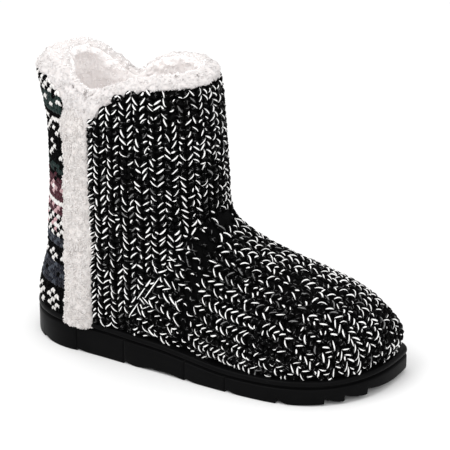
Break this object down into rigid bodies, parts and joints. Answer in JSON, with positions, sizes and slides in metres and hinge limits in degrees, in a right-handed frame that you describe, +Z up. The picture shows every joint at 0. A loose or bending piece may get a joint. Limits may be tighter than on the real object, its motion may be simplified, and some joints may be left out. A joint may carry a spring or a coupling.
{
  "type": "slipper boot",
  "caption": "Ankle-high knitted slipper boot for the right foot, with a deep fleece lining, fleece side strips and collar roll, and a moulded rubber sole with stepped tread.",
  "frame": {"origin": "middle of the outline on the ground plane that the sole stands on", "axes": "+X towards the toe, +Y towards the inner side of the foot, +Z up the shaft"},
  "size_m": [0.264, 0.1004, 0.2095],
  "materials": {
    "rubber": "black moulded rubber, satin, with a bead and groove round its top edge",
    "knit": "chunky black yarn twisted with white, plain knit; figured band at the heel",
    "footbed": "off-white fleece footbed",
    "fleece": "off-white curly fleece pile"
  },
  "bodies": {
    "root": {"outsole": "rubber", "upper": "knit", "insole": "footbed", "fur_strip_outer": "fleece", "fur_strip_inner": "fleece", "fur_collar": "fleece"}
  },
  "joints": []
}
